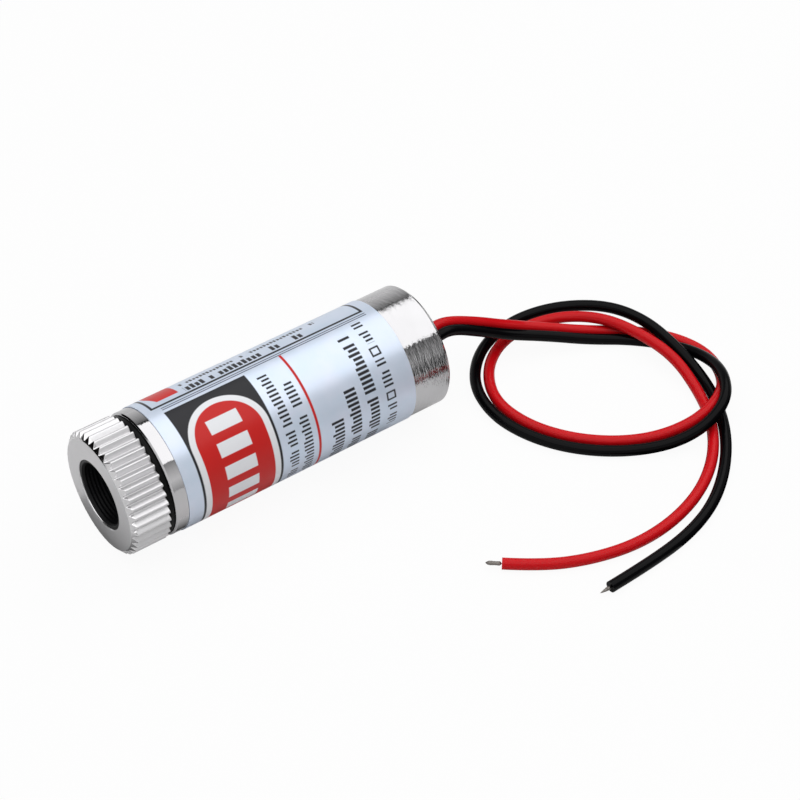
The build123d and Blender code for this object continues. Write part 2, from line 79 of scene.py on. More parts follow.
# Table
# A plain table top, painted white and wide enough to fill the view. It shows as nearly white to the eye
# and through glass, and keeps a faint soft shadow.
class Signal:
    """A socket in a material that is reckoned with like a number."""

    def __init__(self, tree, socket):
        self.tree = tree
        self.socket = socket

    def node(self, kind, inputs=None, output=0, **settings):
        """Any node of this tree: inputs are set by name or place, settings are the node's own properties."""
        made = self.tree.nodes.new(kind)
        for name, value in settings.items():
            setattr(made, name, value)
        for place, value in (inputs or {}).items():
            if isinstance(value, Signal):
                self.tree.links.new(value.socket, made.inputs[place])
            else:
                made.inputs[place].default_value = value
        return Signal(self.tree, made.outputs[output])

    def reckon(self, operation, *values):
        """A Math node, on signals and numbers."""
        return self.node("ShaderNodeMath", dict(enumerate(values)), operation=operation)

    def __add__(self, other):
        return self.reckon("ADD", self, other)

    def __sub__(self, other):
        return self.reckon("SUBTRACT", self, other)

    def __rsub__(self, other):
        return self.reckon("SUBTRACT", other, self)

    def __mul__(self, other):
        return self.reckon("MULTIPLY", self, other)

    def __truediv__(self, other):
        return self.reckon("DIVIDE", self, other)

    def __pow__(self, other):
        return self.reckon("POWER", self, other)

    def __gt__(self, other):
        return self.reckon("GREATER_THAN", self, other)

    def __lt__(self, other):
        return self.reckon("LESS_THAN", self, other)

    def __mod__(self, other):
        return self.reckon("FLOORED_MODULO", self, other)

    def __abs__(self):
        return self.reckon("ABSOLUTE", self)

    __radd__ = __add__
    __rmul__ = __mul__


def new_material(name, **sockets):
    """A material, its main shader, and a signal that starts its other nodes. The sockets set are the
    shader's own, named with a line under for each space."""
    material = bpy.data.materials.new(name)
    material.use_nodes = True
    shader = material.node_tree.nodes["Principled BSDF"]
    for socket, value in sockets.items():
        shader.inputs[socket.replace("_", " ")].default_value = value
    return material, shader, Signal(material.node_tree, None)


def lead_to(shader, socket, signal):
    """Links a signal to one of a shader's own sockets."""
    signal.tree.links.new(signal.socket, shader.inputs[socket])


def seen_and_reflected(start):
    """1 on rays that the eye sends straight or through glass, and 1 on rays that come off a gloss."""
    rays = start.node("ShaderNodeLightPath").socket.node.outputs
    straight, reflected, passing = (
        Signal(start.tree, rays[name]) for name in ("Is Camera Ray", "Is Glossy Ray", "Is Transmission Ray")
    )
    return start.reckon("MAXIMUM", straight, passing), reflected


def staging_sheet(name, corners, material):
    """A flat sheet between four corners in millimetres."""
    mesh = bpy.data.meshes.new(name)
    mesh.from_pydata([tuple(Vector(corner) * mm) for corner in corners], [], [(0, 1, 2, 3)])
    mesh.materials.append(material)
    made = add_object(name, mesh)
    return made


table_half = 2000
plain_white = (1, 1, 1, 1)
white_when_seen = 0.94
white_when_reflected = 0.06
table_white = (0.74, 0.74, 0.74, 1)
table_paint, paint_shader, start = new_material("table_paint", Base_Color=table_white, Roughness=0.6)
seen, reflected = seen_and_reflected(start)
white_share = seen * white_when_seen + reflected * white_when_reflected
white = start.node("ShaderNodeEmission", {"Color": plain_white, "Strength": 1.0})
painted = Signal(start.tree, paint_shader.outputs[0])
surface = start.node("ShaderNodeMixShader", {0: white_share, 1: painted, 2: white})
lead_to(start.tree.nodes["Material Output"], "Surface", surface)
table_corners = [(x * table_half, y * table_half, 0) for x, y in ((-1, -1), (1, -1), (1, 1), (-1, 1))]
staging_sheet("table", table_corners, table_paint)


# Room light
# An even room with a wide soft box overhead. The room is white to the eye and through glass, and grey in
# metal. Dark and light cards round the table give the bright metal its bands, and only reflections see
# them.
def object_place(start):
    """The place on the piece, in metres."""
    return start.node("ShaderNodeTexCoord", output="Object")


def card(name, corners, low_grey, high_grey):
    """A flat card that only reflections see, whose grey changes evenly from its foot to its top."""
    material = bpy.data.materials.new(name)
    material.use_nodes = True
    nodes = material.node_tree.nodes
    nodes.remove(nodes["Principled BSDF"])
    start = Signal(material.node_tree, None)
    height = start.node("ShaderNodeSeparateXYZ", {"Vector": object_place(start)}, output="Z")
    foot, top = corners[0][2] * mm, corners[2][2] * mm
    strength = (height - foot) * ((high_grey - low_grey) / (top - foot)) + low_grey
    glow = start.node("ShaderNodeEmission", {"Color": plain_white, "Strength": strength})
    lead_to(nodes["Material Output"], "Surface", glow)
    made = staging_sheet(name, corners, material)
    for ray in ("camera", "diffuse", "transmission", "volume_scatter", "shadow"):
        setattr(made, "visible_" + ray, False)


room_level = 0.25
room_in_metal = 0.3
room = bpy.data.worlds.new("room")
room.use_nodes = True
bpy.context.scene.world = room
room_shader = room.node_tree.nodes["Background"]
seen, reflected = seen_and_reflected(Signal(room.node_tree, None))
room_strength = seen * (1 - room_level) + reflected * (room_in_metal - room_level) + room_level
lead_to(room_shader, "Strength", room_strength)
room_shader.inputs["Color"].default_value = plain_white

box_length = 700 * mm
box_width = 540 * mm
box_place = (-100 * mm, 12 * mm, 300 * mm)
box_brightness = 1.45
box_data = bpy.data.lights.new("soft_box", "AREA")
box_data.shape = "RECTANGLE"
box_data.size = box_length
box_data.size_y = box_width
box_data.energy = box_brightness * math.pi * box_length * box_width
soft_box = add_object("soft_box", box_data)
soft_box.location = box_place
soft_box.visible_camera = False

# The cards on the camera's side, which are dark behind the module and light before it
card("near_dark_foot", [(-400, 130, 0), (-62, 130, 0), (-66, 130, 45), (-400, 130, 45)], 0.02, 0.18)
card("near_dark_card", [(-400, 130, 45), (-66, 130, 45), (-84, 130, 150), (-400, 130, 150)], 0.18, 0.08)
card("near_light_foot", [(-62, 130, 0), (300, 130, 0), (300, 130, 45), (-66, 130, 45)], 0.45, 0.85)
card("near_light_card", [(-66, 130, 45), (300, 130, 45), (300, 130, 150), (-84, 130, 150)], 0.85, 0.3)

# The card on the far side with a dark edge, and small ones off the module's front end
card("far_card", [(-500, -260, 0), (300, -260, 0), (300, -260, 264), (-500, -260, 264)], 0.86, 0.16)
card("far_card_edge", [(-500, -260, 264), (300, -260, 264), (300, -260, 304), (-500, -260, 304)], 0.0, 0.0)
card("front_dark_card", [(28, -80, 0), (84, -24, 0), (84, -24, 48), (28, -80, 48)], 0.0, 0.0)
card("front_light_card", [(84, -22, 0), (84, 110, 0), (84, 110, 90), (84, -22, 90)], 0.8, 1.0)

# Cards on the table, which paint shadows into the metal's reflections: a dark one behind the leads for
# their shadow, and two that fade out from where the module stands for its contact shadow
# Painted shadow of the leads on the table, for the metal to reflect
card("lead_shadow_card", [(-70, 130, 0.02), (-20, 20, 0.02), (-200, 20, 0.04), (-400, 130, 0.04)], 0.02, 0.02)
# Painted contact shadow beside the barrel's foot, for the metal band and label to reflect
card("side_contact_shadow_card", [(-12, 4, 0.02), (12.6, 4, 0.02), (12.6, 8, 0.3), (-12, 8, 0.3)], 0.0, 0.7)
# Painted contact shadow on the table in front of the focus ring's face, for the face to reflect
card("front_contact_shadow_card", [(17.3, -6, 0.02), (17.3, 7, 0.02), (22.5, 7, 0.3), (22.5, -6, 0.3)], 0.1, 0.7)

# A small dark card off its rear end
card("rear_card", [(-30, -14, 3), (-30, 1.5, 3), (-30, 1.5, 6.5), (-30, -14, 6.5)], 0.0, 0.0)


# Leads
# Two limp wires of stranded copper in soft glossy vinyl, one red and one black, soldered inside the
# barrel. They leave its rear side by side, come down to the table and lie there in a loose knot.
def noise(place, scale, detail, roughness=0.5):
    """Cloudy noise between 0 and 1, finer as the scale grows."""
    inputs = {"Vector": place, "Scale": scale, "Detail": detail, "Roughness": roughness}
    return place.node("ShaderNodeTexNoise", inputs)


def tint(share, first, second):
    """The first colour where the share is 0, the second where it is 1, and between them elsewhere. A
    colour is three numbers or a signal."""
    first, second = (colour if isinstance(colour, Signal) else (*colour, 1) for colour in (first, second))
    inputs = {"Factor": share, "A": first, "B": second}
    return share.node("ShaderNodeMix", inputs, output="Result", data_type="RGBA")


def shaded(colour, share):
    """A colour with each of its values times a share."""
    return tuple(value * share for value in colour)


def roughen(shader, share, low, high):
    """Roughness that goes from low to high as the share goes from 0 to 1."""
    lead_to(shader, "Roughness", share * (high - low) + low)


def raise_surface(shader, height, strength, depth):
    """A bump over the surface, where a height of 1 stands this many millimetres up."""
    inputs = {"Height": height, "Strength": strength, "Distance": depth * mm}
    lead_to(shader, "Normal", height.node("ShaderNodeBump", inputs))


def vinyl(name, colour, roughness, shine):
    """Soft vinyl with a slight orange peel and faint dull patches from handling."""
    material, shader, start = new_material(name, Roughness=roughness, Specular_IOR_Level=shine)
    place = object_place(start)
    patches = noise(place, scale=160.0, detail=2.0)
    lead_to(shader, "Base Color", tint(patches, shaded(colour, 0.88), shaded(colour, 1.1)))
    roughen(shader, patches, roughness - 0.08, roughness + 0.08)
    raise_surface(shader, noise(place, scale=2600.0, detail=3.0), strength=0.12, depth=0.05)
    return material


def piece(name, data, material, body, node):
    """The object of a finished mesh or curve, which rides on a body and stands for a node of the solid
    model."""
    data.materials.append(material)
    made = add_object(name, data)
    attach(made, body)
    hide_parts(node)
    return made


lead_diameter = 1.1 * mm
barrel_low, barrel_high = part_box("barrel")
barrel_rear_x = barrel_low.x / mm
axis_z = (barrel_low.z + barrel_high.z) / 2
exit_height = axis_z / mm
table_rest = 0.56
red_route = [
    (barrel_rear_x, -0.6, exit_height),
    (-19.2, -0.6, exit_height),
    (-21.3, -0.9, 6.05),
    (-24.8, -0.6, 4.4),
    (-28.0, 0.1, 2.8),
    (-31.6, 1.6, 1.7),
    (-35.3, 3.4, 0.65),
    (-39.0, 5.9, table_rest),
    (-41.9, 9.0, table_rest),
    (-43.2, 12.7, table_rest),
    (-42.0, 16.5, 0.83),
    (-39.0, 19.3, 1.93),
    (-35.4, 20.2, 1.6),
    (-31.6, 19.2, 0.8),
    (-28.0, 17.2, table_rest),
    (-24.8, 14.2, table_rest),
    (-22.7, 10.4, table_rest),
    (-22.2, 6.2, table_rest),
    (-24.1, 2.4, table_rest),
    (-27.4, 0.0, table_rest),
    (-31.2, -0.6, table_rest),
    (-34.8, 1.0, 1.2),
    (-37.3, 4.1, 1.8),
    (-38.7, 8.0, 1.85),
    (-39.4, 12.2, 1.6),
    (-39.0, 16.2, 0.6),
    (-37.4, 20.2, table_rest),
    (-34.4, 24.0, table_rest),
    (-30.5, 26.7, table_rest),
    (-26.0, 28.2, table_rest),
    (-21.4, 28.5, table_rest),
    (-16.9, 27.5, table_rest),
    (-12.9, 25.6, table_rest),
    (-10.1, 23.3, table_rest),
]
black_route = [
    (barrel_rear_x, 0.6, exit_height),
    (-19.2, 0.6, exit_height),
    (-21.3, 0.3, 6.0),
    (-24.8, 0.6, 4.05),
    (-27.7, 1.3, 2.6),
    (-31.2, 2.8, 1.7),
    (-34.8, 4.7, 0.75),
    (-38.4, 7.0, table_rest),
    (-41.1, 10.0, 0.6),
    (-42.0, 13.5, 1.45),
    (-41.1, 17.3, 2.65),
    (-38.9, 20.4, 2.75),
    (-35.7, 21.4, 1.8),
    (-32.1, 20.9, 1.0),
    (-28.2, 18.9, table_rest),
    (-24.5, 15.9, table_rest),
    (-22.0, 12.1, table_rest),
    (-20.9, 7.8, table_rest),
    (-21.8, 3.4, table_rest),
    (-24.7, 0.1, table_rest),
    (-28.4, -1.6, table_rest),
    (-32.3, -1.9, table_rest),
    (-36.1, -0.4, 0.9),
    (-39.0, 2.8, 1.6),
    (-40.3, 6.6, 1.85),
    (-40.4, 10.8, 1.8),
    (-40.6, 14.8, 0.65),
    (-39.4, 18.7, table_rest),
    (-37.2, 22.5, table_rest),
    (-34.1, 25.9, table_rest),
    (-30.4, 28.6, table_rest),
    (-26.2, 30.2, table_rest),
    (-21.2, 30.9, table_rest),
    (-16.2, 31.1, table_rest),
]


def wire(name, route, material, node):
    """A smooth round wire whose line is drawn by the route's points."""
    curve = bpy.data.curves.new(name, "CURVE")
    curve.dimensions = "3D"
    line = curve.splines.new("NURBS")
    line.points.add(len(route) - 1)
    for point, place in zip(line.points, route):
        point.co = (*(value * mm for value in place), 1)
    line.order_u = 3
    line.use_endpoint_u = True
    line.resolution_u = 10
    curve.bevel_depth = lead_diameter / 2
    curve.bevel_resolution = 6
    curve.use_fill_caps = True
    return piece(name, curve, material, "module", node)


red_vinyl = vinyl("red_vinyl", colour=(0.58, 0.004, 0.008), roughness=0.22, shine=0.15)
black_vinyl = vinyl("black_vinyl", colour=(0.0015, 0.0014, 0.002), roughness=0.2, shine=0.08)
red_lead = wire("red_lead", red_route, red_vinyl, "red_wire")
black_lead = wire("black_lead", black_route, black_vinyl, "black_wire")


# Stripped ends
# The last millimetre or so of each lead is bare: a few fine copper strands, twisted together and tinned.
# The red one ends in a blob of solder, and the black one is drawn out to a point.
def grid_mesh(name, points, wrap_rows=False, wrap_columns=False):
    """A mesh over a grid of points, rows by columns. Each cell between two rows and two columns is one
    face, and a wrapped grid also has the cells between its last and first row or column. Points that
    fall together, as at a pole, are merged."""
    rows, columns = points.shape[:2]
    index = np.arange(rows * columns).reshape(rows, columns)
    if wrap_rows:
        index = np.vstack([index, index[:1]])
    if wrap_columns:
        index = np.hstack([index, index[:, :1]])
    faces = np.stack([index[:-1, :-1], index[1:, :-1], index[1:, 1:], index[:-1, 1:]], axis=-1)
    mesh = bpy.data.meshes.new(name)
    mesh.from_pydata(points.reshape(-1, 3), [], faces.reshape(-1, 4))
    work = bmesh.new()
    work.from_mesh(mesh)
    bmesh.ops.remove_doubles(work, verts=work.verts, dist=1e-4 * mm)
    bmesh.ops.recalc_face_normals(work, faces=work.faces)
    work.to_mesh(mesh)
    work.free()
    mesh.shade_smooth()
    return mesh


def full_turn(steps):
    """Angles at even steps round a full turn, as one row of a grid."""
    return np.linspace(0, 2 * np.pi, steps, endpoint=False)[None, :]


def tinned_strands(name, roughness):
    """Tinned copper, its grey darkened all over and in warm cloudy patches as painted shade between the fine
    strands.
    """
    material, shader, start = new_material(name, Metallic=1.0, Roughness=roughness)
    clouds = noise(object_place(start), scale=1500.0, detail=4.0)
    # Both tones are darker than bare tin: painted shade between the strands, deepest in the warm patches
    lead_to(shader, "Base Color", tint(clouds, (0.30, 0.29, 0.28), (0.13, 0.11, 0.095)))
    roughen(shader, clouds, roughness, roughness + 0.2)
    raise_surface(shader, clouds, strength=0.2, depth=0.03)
    return material


def twisted_end(name, route, length, sizes, strands, twists, node):
    """Strands twisted round each other, as one surface: at angle a round the line and at share s along it,
    the radius is the size there times a ripple with one crest for each strand, and the ripple turns with s.
    sizes gives the radius at even steps along the end, whose two tips are closed to a point."""
    end = np.array(route[-1]) * mm
    ahead = end - np.array(route[-2]) * mm
    ahead /= np.linalg.norm(ahead)
    side = np.cross(ahead, (0, 0, 1))
    side /= np.linalg.norm(side)
    rise = np.cross(side, ahead)
    groove = 0.16
    share = np.linspace(0, 1, num=60)[:, None]
    angle = full_turn(steps=48)
    size = np.interp(share, np.linspace(0, 1, len(sizes)), sizes) * mm
    crests = np.abs(np.cos((angle - share * twists * 2 * np.pi) * strands / 2))
    radius = size * (1 - groove + groove * crests)
    along = np.broadcast_to(share * length * mm, radius.shape)
    points = (
        end
        + along[..., None] * ahead
        + (radius * np.cos(angle))[..., None] * side
        + (radius * np.sin(angle))[..., None] * rise
    )
    return piece(name, grid_mesh(name, points, wrap_columns=True), tinned, "module", node)


tinned = tinned_strands("tinned_copper", roughness=0.28)
red_sizes = [0, 0.2, 0.2, 0.19, 0.19, 0.2, 0.21, 0.2, 0.14, 0]
black_sizes = [0, 0.2, 0.19, 0.17, 0.15, 0.12, 0.09, 0.05, 0]
red_end = twisted_end(
    "red_end", red_route, 1.5, red_sizes, strands=7, twists=0.9, node="red_wire_tip"
)
black_end = twisted_end(
    "black_end", black_route, 1.22, black_sizes, strands=5, twists=0.8, node="black_wire_tip"
)
red_exit = tuple(value * mm for value in red_route[0])
black_exit = tuple(value * mm for value in black_route[0])


# Barrel
# A brass tube, turned on a lathe and plated with bright nickel, which keeps the fine rings that the tool
# left. Its two outer edges are broken by small chamfers, and a shoulder inside stops the diode's holder.
def outline(corners, rounding):
    """The closed outline of a section, as distances along the module and radii. Each corner is rounded
    by a curve from the point at its rounding back along one side to the same point on the next side,
    pulled towards the corner, and a point a little further along each side holds that side flat."""
    corner = np.array(corners, float)
    cut = np.broadcast_to(np.array(rounding, float), len(corner))[:, None]
    before = np.roll(corner, 1, axis=0) - corner
    after = np.roll(corner, -1, axis=0) - corner
    before /= np.linalg.norm(before, axis=1, keepdims=True)
    after /= np.linalg.norm(after, axis=1, keepdims=True)
    start_point = corner + before * cut
    end_point = corner + after * cut
    hold = 0.4
    rows = [start_point + before * cut * hold]
    for t in np.linspace(0, 1, num=5):
        rows.append((1 - t) ** 2 * start_point + 2 * t * (1 - t) * corner + t**2 * end_point)
    rows.append(end_point + after * cut * hold)
    return np.stack(rows, axis=1).reshape(-1, 2)


def round_axis(along, radius, angle):
    """Points round the module's axis, from millimetres to metres: radius times the sine of the angle to
    the side, and radius times its cosine up from the axis."""
    side = radius * mm * np.sin(angle)
    height = axis_z + radius * mm * np.cos(angle)
    return np.stack(np.broadcast_arrays(along * mm, side, height), axis=-1)


def turned(name, section, columns=256, closed=True):
    """A section turned round the module's axis."""
    points = round_axis(section[:, :1], section[:, 1:], full_turn(columns))
    return grid_mesh(name, points, wrap_rows=closed, wrap_columns=True)


def around_axis(start):
    """Distance along the module, angle round it in degrees from straight up towards +Y, and distance
    from its axis, the lengths in millimetres."""
    parts = start.node("ShaderNodeSeparateXYZ", {"Vector": object_place(start)}).socket.node
    x, y, z = (Signal(start.tree, parts.outputs[name]) for name in "XYZ")
    up = z - axis_z
    degrees = start.reckon("ARCTAN2", y, up) * (180 / math.pi)
    distance = (y * y + up * up) ** 0.5
    return x / mm, degrees, distance / mm


def turning_marks(along, degrees, distance, pitch, drift, roughness=0.5):
    """Noise drawn out into rings round the axis, as a lathe leaves it: about one ring to each pitch, along
    the module and out from its axis, and a drift of this much to the degree."""
    inputs = {"X": along / pitch, "Y": degrees * drift, "Z": distance / pitch}
    return noise(along.node("ShaderNodeCombineXYZ", inputs), scale=1.0, detail=3.0, roughness=roughness)


def turned_nickel(name, tone, roughness, ring_depth, ring_pitch, bright, coarse, dulling):
    """Bright nickel over turned brass: rings of uneven depth round the axis, some of them torn and duller
    than the rest, and a light haze that comes and goes. It is duller outside the bright stretch of the
    length, and its rings are deepest in the coarse stretch."""
    material, shader, start = new_material(name, Metallic=1.0, Roughness=roughness)
    along, degrees, distance = around_axis(start)
    rings = turning_marks(along, degrees, distance, ring_pitch, drift=0.06, roughness=0.7)
    torn_from, torn_to = 0.5, 0.7
    torn = start.node("ShaderNodeMapRange", {0: rings, 1: torn_from, 2: torn_to})
    haze = noise(object_place(start), scale=220.0, detail=4.0)
    darker = (tone - 0.04, tone - 0.045, tone - 0.035)
    lighter = (tone + 0.04, tone + 0.035, tone + 0.045)
    lead_to(shader, "Base Color", tint(haze, darker, lighter))
    is_bright = (along > bright[0]) * (along < bright[1])
    is_coarse = (along > coarse[0]) * (along < coarse[1])
    haze_dulling, torn_dulling = 0.06, 0.07
    dulled = haze * haze_dulling + torn * torn_dulling + (1 - is_bright) * dulling
    lead_to(shader, "Roughness", dulled + (roughness - 0.05))
    fine_depth = 0.25
    height = rings * (is_coarse * (1 - fine_depth) + fine_depth)
    raise_surface(shader, height, strength=1.0, depth=ring_depth)
    return material


barrel_radius = (barrel_high.z - barrel_low.z) / 2 / mm
barrel_front_x = barrel_high.x / mm
front_chamfer = 0.15
rear_chamfer = 0.3
front_wall = 1.0
rear_wall = 0.8
front_bore = barrel_radius - front_wall
rear_bore = barrel_radius - rear_wall
shoulder_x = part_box("diode_holder")[1].x / mm
barrel_section = outline(
    [
        (barrel_rear_x, rear_bore),
        (barrel_rear_x, barrel_radius - rear_chamfer),
        (barrel_rear_x + rear_chamfer, barrel_radius),
        (barrel_front_x - front_chamfer, barrel_radius),
        (barrel_front_x, barrel_radius - front_chamfer),
        (barrel_front_x, front_bore),
        (shoulder_x, front_bore),
        (shoulder_x, rear_bore),
    ],
    rounding=0.04,
)
dull_face_depth = 0.02
label_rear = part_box("label")[0].x / mm
barrel_nickel = turned_nickel(
    "barrel_nickel",
    tone=0.53,
    roughness=0.08,
    ring_depth=0.055,
    ring_pitch=0.3,
    bright=(barrel_rear_x + dull_face_depth, barrel_front_x - dull_face_depth),
    coarse=(barrel_rear_x + rear_chamfer, label_rear),
    dulling=0.16,
)
piece("barrel_tube", turned("barrel_tube", barrel_section), barrel_nickel, "module", "barrel")

# Label
# A glossy printed film, stuck round the barrel with a narrow seam underneath. Its ground is a pale
# blue-silver, and its print is kept to plain fields, frames and bars.
label_low, label_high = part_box("label")
label_front = label_high.x / mm
module_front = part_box("focus_ring")[1].x / mm
label_radius = (label_high.z - label_low.z) / 2 / mm
seam_middle = 225
seam_start = seam_middle - 360
seam_width = 6.0
film_edge = 0.02
film_from = seam_middle + seam_width / 2
film_to = seam_middle + 360 - seam_width / 2
label_angle = np.radians(np.linspace(film_from, film_to, num=355))[None, :]
film_rows = np.linspace(label_rear + film_edge, label_front - film_edge, num=13)
label_along = np.concatenate([[label_rear], film_rows, [label_front]])[:, None]


def printed_film():
    """The label's print, laid out by distance back from the module's front face and by angle round it."""
    material, shader, start = new_material("printed_film", Roughness=0.34, Specular_IOR_Level=0.25)
    along, degrees, _ = around_axis(start)
    back = module_front - along
    arc = math.radians(1) * label_radius
    around = ((degrees - seam_start) % 360 + seam_start) * arc
    soft = 0.05

    def inside(value, low, high, blur=soft):
        """1 between low and high and 0 outside, with edges as soft as printed ones."""
        rise, fall = (
            start.node(
                "ShaderNodeMapRange",
                {0: value, 1: edge - blur, 2: edge + blur},
                interpolation_type="SMOOTHSTEP",
            )
            for edge in (low, high)
        )
        return rise * (1 - fall)

    def field(back_low, back_high, angle_low, angle_high):
        """1 in a box of the print, given in millimetres back and degrees round."""
        return inside(back, back_low, back_high) * inside(around, angle_low * arc, angle_high * arc)

    def ticks(run, across, low, high, pitch, share, seed):
        """A row of upright ticks along one direction, between two places across it, each of them this
        share of the pitch wide. Some are left out, which breaks the row into groups, and some are
        shorter than the row."""
        left_out = 0.1
        short_from = 0.6
        shorter_by = 0.2 * (high - low)
        number = start.reckon("FLOOR", run / pitch)
        cell = start.node("ShaderNodeCombineXYZ", {"X": number, "Y": seed, "Z": 0.5})
        chance = start.node("ShaderNodeTexWhiteNoise", {"Vector": cell}, output="Value")
        foot = ((chance * 7) % 1 > short_from) * shorter_by + low
        above = start.reckon("MULTIPLY_ADD", across - foot, 1 / soft, 0.5)
        covered = start.node("ShaderNodeClamp", {"Value": above}) * inside(across, low - 1, high)
        on_tick = inside((run / pitch) % 1, 0.5 - share / 2, 0.5 + share / 2, soft / pitch)
        return covered * on_tick * (chance > left_out)

    black_ink = (0.016, 0.016, 0.02)
    line_ink = (0.10, 0.11, 0.16)
    red_ink = (0.56, 0.012, 0.01)
    white_ink = (0.80, 0.81, 0.84)
    place = object_place(start)
    mottle = noise(place, scale=420.0, detail=5.0)
    ground = tint(mottle, (0.57, 0.69, 0.82), (0.73, 0.76, 0.88))

    # Framed panel along the top with a red tab, two rows of ticks, and a double line beside it
    frame_line = field(6.45, 29.2, -62, -8.8) * (1 - field(6.7, 28.95, -59, -11.2))
    double_line = field(7.3, 29.2, -6.6, -5.6) + field(7.3, 29.2, -4.2, -3.2)
    tab_slant = 0.35
    tab = field(7.0, 9.8, -58, -17) * inside(back - around * tab_slant, 8.2, 40)
    small_row = ticks(back, around, -31.5 * arc, -26 * arc, 0.36, 0.68, 1.5) * inside(back, 10.4, 25)
    large_row = ticks(back, around, -21.5 * arc, -13 * arc, 0.5, 0.72, 2.5) * inside(back, 10.4, 23)
    print_marks = start.reckon("MAXIMUM", frame_line, small_row + large_row)

    # Rows of ticks round the barrel, and two small open squares. A row's numbers are millimetres back,
    # degrees round, the ticks' pitch and share, and the seed of its gaps.
    for low, high, angle_low, angle_high, pitch, share, seed in (
        (16.3, 17.3, 8, 170, 0.42, 0.5, 3.5),
        (17.9, 18.9, 20, 150, 0.42, 0.5, 4.5),
        (21.0, 22.3, 72, 190, 0.46, 0.6, 5.5),
        (23.0, 24.2, 52, 200, 0.46, 0.62, 6.5),
        (25.0, 26.2, 8, 205, 0.46, 0.62, 7.5),
        (27.1, 28.1, -1, 25, 0.42, 0.5, 8.5),
        (27.1, 28.1, 41, 67, 0.42, 0.5, 8.5),
        (27.1, 28.1, 83, 109, 0.42, 0.5, 8.5),
    ):
        row = ticks(around, back, low, high, pitch, share, seed)
        row = row * inside(around, angle_low * arc, angle_high * arc)
        print_marks = start.reckon("MAXIMUM", print_marks, row)
    for angle in (29, 71):
        square = field(27.1, 28.1, angle, angle + 8.5) * (1 - field(27.27, 27.93, angle + 1.6, angle + 6.9))
        print_marks = start.reckon("MAXIMUM", print_marks, square)

    # Thin red rule, and a black panel with a round-ended red strip in a white rim and a row of white blocks
    rule = field(19.47, 19.73, -3, 222)
    panel = field(7.2, 15.6, 0, 222)
    strip_back = 11.4
    strip_angle = 111
    block_pitch = 21

    def round_ended(half_width, half_angle):
        """1 in a strip with round ends about the panel's middle line: where the distance to the stretch
        between the middles of its ends is under half its width."""
        across = back - strip_back
        past_end = abs(around - strip_angle * arc) - (half_angle * arc - half_width)
        onward = start.reckon("MAXIMUM", past_end, 0)
        return inside((across * across + onward * onward) ** 0.5, -1, half_width)

    blocks = inside(around / (block_pitch * arc) % 1, 0.2, 0.8, 0.02) * field(9.8, 13.0, 21, 210)
    colour = ground
    for share, ink in (
        (double_line, line_ink),
        (tab, red_ink),
        (print_marks, black_ink),
        (rule, red_ink),
        (panel, black_ink),
        (round_ended(3.95, 103), white_ink),
        (round_ended(3.35, 97.5), red_ink),
        (blocks, white_ink),
    ):
        colour = tint(share, colour, ink)
    lead_to(shader, "Base Color", colour)

    # The bare ground is a silvery film, and the print on it isn't
    printed = print_marks
    for share in (rule, panel, tab):
        printed = start.reckon("MAXIMUM", printed, share)
    lead_to(shader, "Metallic", (1 - printed) * 0.4)
    roughen(shader, mottle, 0.28, 0.4)
    raise_surface(shader, noise(place, scale=90.0, detail=2.0), strength=0.06, depth=0.08)
    return material


label_mesh = grid_mesh("label_film", round_axis(label_along, label_radius, label_angle))
label_film = piece("label_film", label_mesh, printed_film(), "module", "label")
film_share = 0.96
wall = label_film.modifiers.new("thickness", "SOLIDIFY")
wall.thickness = (label_radius - barrel_radius) * film_share * mm
wall.offset = -1


# Focus ring
# The head that the fingers turn. It is turned from brass in one piece with the threaded neck behind it,
# knurled with straight V ridges, chamfered at its front edge, and plated like the barrel.
def turned_rows(name, rows, angle):
    """A closed skin round the module's axis, from the rows of its section. A row is a distance along the
    module and a radius, each of them a number or an array with a value at each angle."""
    full_rows = [np.broadcast_arrays(along, radius, angle) for along, radius in rows]
    along = np.vstack([row[0] for row in full_rows])
    radius = np.vstack([row[1] for row in full_rows])
    return grid_mesh(name, round_axis(along, radius, angle), wrap_rows=True, wrap_columns=True)


ridge_count = 40
ridge_depth = 0.45
steps_per_ridge = 16
ridge_turn = 3.5
crest_share = 0.14
valley_share = 0.06
ring_front = module_front
ring_length = 3.85
ring_rear = ring_front - ring_length
ring_bore = 3.4
ring_bevel = 0.06
face_drop = 0.55
face_radius = barrel_radius - face_drop
face_chamfer = 0.45
ridge_phase = np.arange(ridge_count * steps_per_ridge)[None, :] / steps_per_ridge
ridge_angle = math.radians(ridge_turn) + ridge_phase * 2 * np.pi / ridge_count
crest_distance = 1 - 2 * np.abs(ridge_phase % 1 - 0.5)
flank = np.clip((crest_distance - crest_share) / (1 - crest_share - valley_share), 0, 1)
ridge_radius = barrel_radius - ridge_depth * flank


